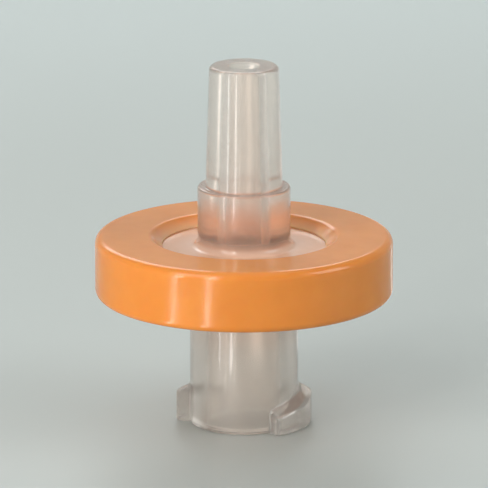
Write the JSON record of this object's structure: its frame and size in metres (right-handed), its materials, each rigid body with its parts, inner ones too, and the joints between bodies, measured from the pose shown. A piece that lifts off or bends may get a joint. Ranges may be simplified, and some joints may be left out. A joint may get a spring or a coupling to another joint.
{
  "type": "syringe filter",
  "caption": "Disc-shaped syringe filter: translucent housing with a female luer lock inlet, a male luer outlet, a clamped membrane and an apricot overmoulded ring.",
  "frame": {"origin": "centre of the inlet's mouth, on the luer axis, which is the lowest point of the part as it stands", "axes": "+Z runs along the luer axis from the inlet to the tip of the outlet; +X passes through one of the two luer lugs"},
  "size_m": [0.017, 0.017, 0.0209],
  "materials": {
    "natural_pp_inlet": "natural polypropylene, uncoloured and translucent, smooth from the mould",
    "natural_pp_outlet": "natural polypropylene, uncoloured and translucent, smooth from the mould",
    "membrane": "white porous PES film, matt",
    "apricot_ring": "apricot polypropylene, semi-gloss, slightly translucent"
  },
  "bodies": {
    "root": {"inlet_housing": "natural_pp_inlet", "outlet_housing": "natural_pp_outlet", "membrane": "membrane", "outer_ring": "apricot_ring"}
  },
  "joints": []
}
